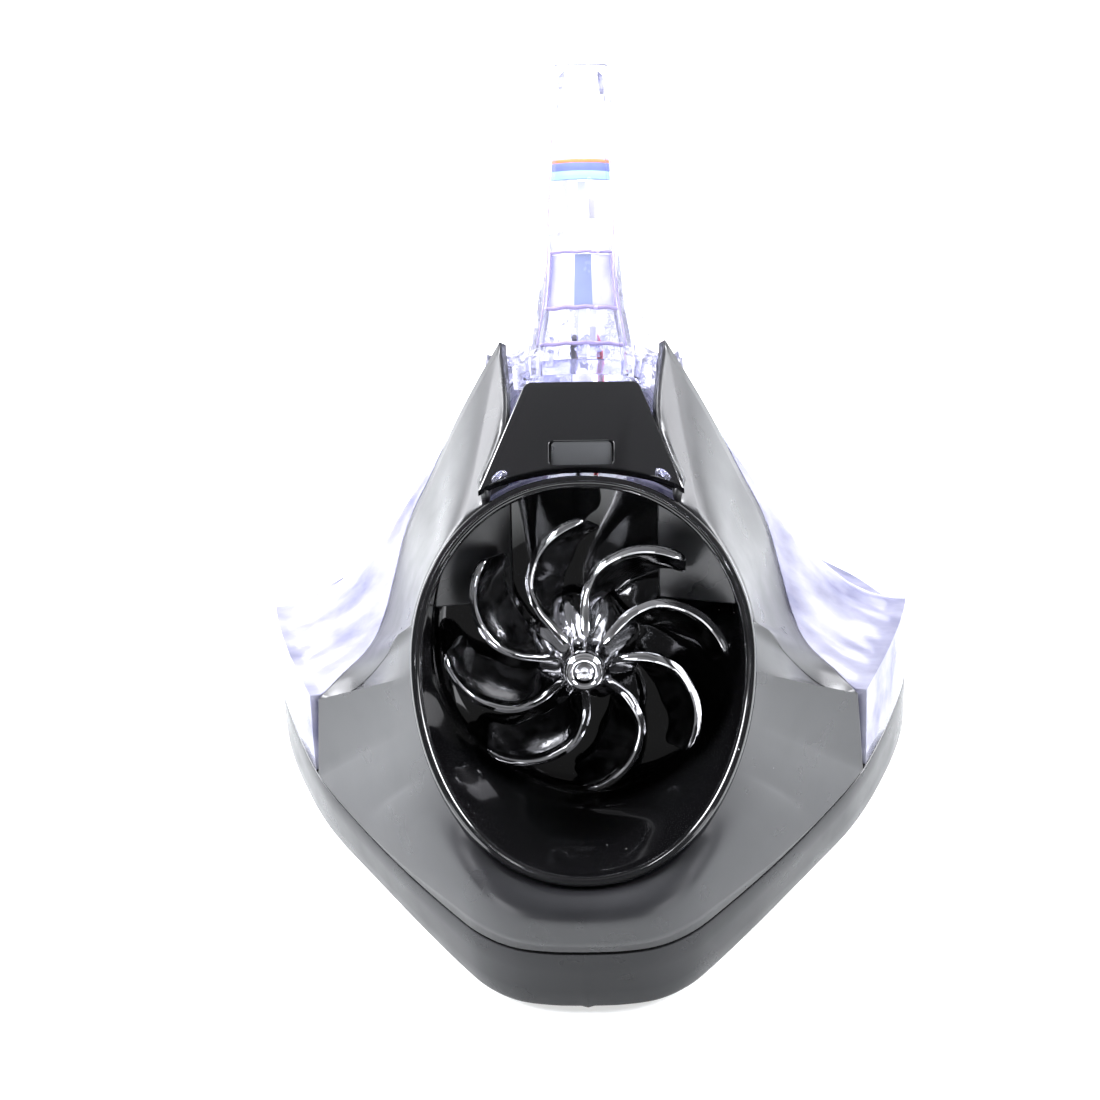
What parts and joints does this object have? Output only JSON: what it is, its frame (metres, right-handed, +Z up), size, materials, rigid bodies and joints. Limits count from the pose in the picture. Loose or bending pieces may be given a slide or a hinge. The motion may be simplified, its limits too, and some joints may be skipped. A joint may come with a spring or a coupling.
{
  "type": "wind-driven led roof lamp",
  "caption": "Shark-fin lamp for a car roof: a chromed wind turbine in a glossy intake duct drives a small generator that lights a clear fin and clear side wings.",
  "frame": {"origin": "centre of the bounding box's bottom face, on the underside of the adhesive pad", "axes": "+Z up from the mounting surface, -Y towards the nose and air intake, +X to the lamp's right seen from in front; the body is symmetric about X = 0"},
  "size_m": [0.0922, 0.128, 0.096],
  "materials": {
    "satin_black_plastic": "fine satin moulded ABS",
    "gloss_black_plastic": "polished black",
    "clear_plastic": "clear, faint cool tint",
    "chromed_turbine": "bright chrome plating",
    "bright_screw": "bright",
    "steel": "drawn steel",
    "zinc_screw": "zinc plated",
    "brass": "plain",
    "copper": "enamelled copper",
    "ferrite": "sintered grey black",
    "white_nylon": "moulded nylon",
    "dark_plastic": "moulded",
    "green_board": "solder mask",
    "white_board": "white solder mask",
    "capacitor_sleeve": "shrink sleeve",
    "led_clear": "moulded lens",
    "red_wire": "PVC",
    "black_wire": "PVC",
    "foam_tape": "foam tape with its liner"
  },
  "bodies": {
    "housing": {"base_tray": "satin_black_plastic", "board_screw_front": "zinc_screw", "board_screw_rear": "zinc_screw", "brush_left": "ferrite", "brush_right": "ferrite", "controller_chip": "dark_plastic", "cradle_screw_left": "zinc_screw", "cradle_screw_right": "zinc_screw", "fascia_panel": "gloss_black_plastic", "fin_front_led": "led_clear", "fin_lead_black": "black_wire", "fin_lead_red": "red_wire", "fin_led_1": "led_clear", "fin_led_2": "led_clear", "fin_led_3": "led_clear", "fin_led_board": "white_board", "fin_lens": "clear_plastic", "front_bush": "brass", "front_cowl": "satin_black_plastic", "generator_can": "steel", "generator_cradle": "dark_plastic", "generator_end_bell": "white_nylon", "generator_lead_black": "black_wire", "generator_lead_red": "red_wire", "intake_duct": "gloss_black_plastic", "magnet_lower": "ferrite", "magnet_upper": "ferrite", "main_board": "green_board", "rear_bush": "brass", "rectifier": "dark_plastic", "side_lead_left": "black_wire", "side_lead_right": "black_wire", "side_led_board_left": "white_board", "side_led_board_right": "white_board", "side_led_left": "led_clear", "side_led_right": "led_clear", "storage_capacitor": "capacitor_sleeve", "tape_pad": "foam_tape", "terminal_left": "brass", "terminal_right": "brass", "tray_screw_1": "zinc_screw", "tray_screw_2": "zinc_screw", "tray_screw_3": "zinc_screw", "tray_screw_4": "zinc_screw", "wing_lens_left": "clear_plastic", "wing_lens_right": "clear_plastic"},
    "rotor": {"turbine_rotor": "chromed_turbine", "rotor_screw": "bright_screw", "generator_shaft": "steel", "armature_core": "steel", "armature_coil_1": "copper", "armature_coil_2": "copper", "armature_coil_3": "copper", "commutator": "copper"}
  },
  "joints": [
    {"name": "turbine_spin", "type": "hinge", "parent": "housing", "child": "rotor", "pos_m": [0, -0.0275, 0.035], "axis": [0, -0.9272, 0.3746], "continuous": true}
  ]
}
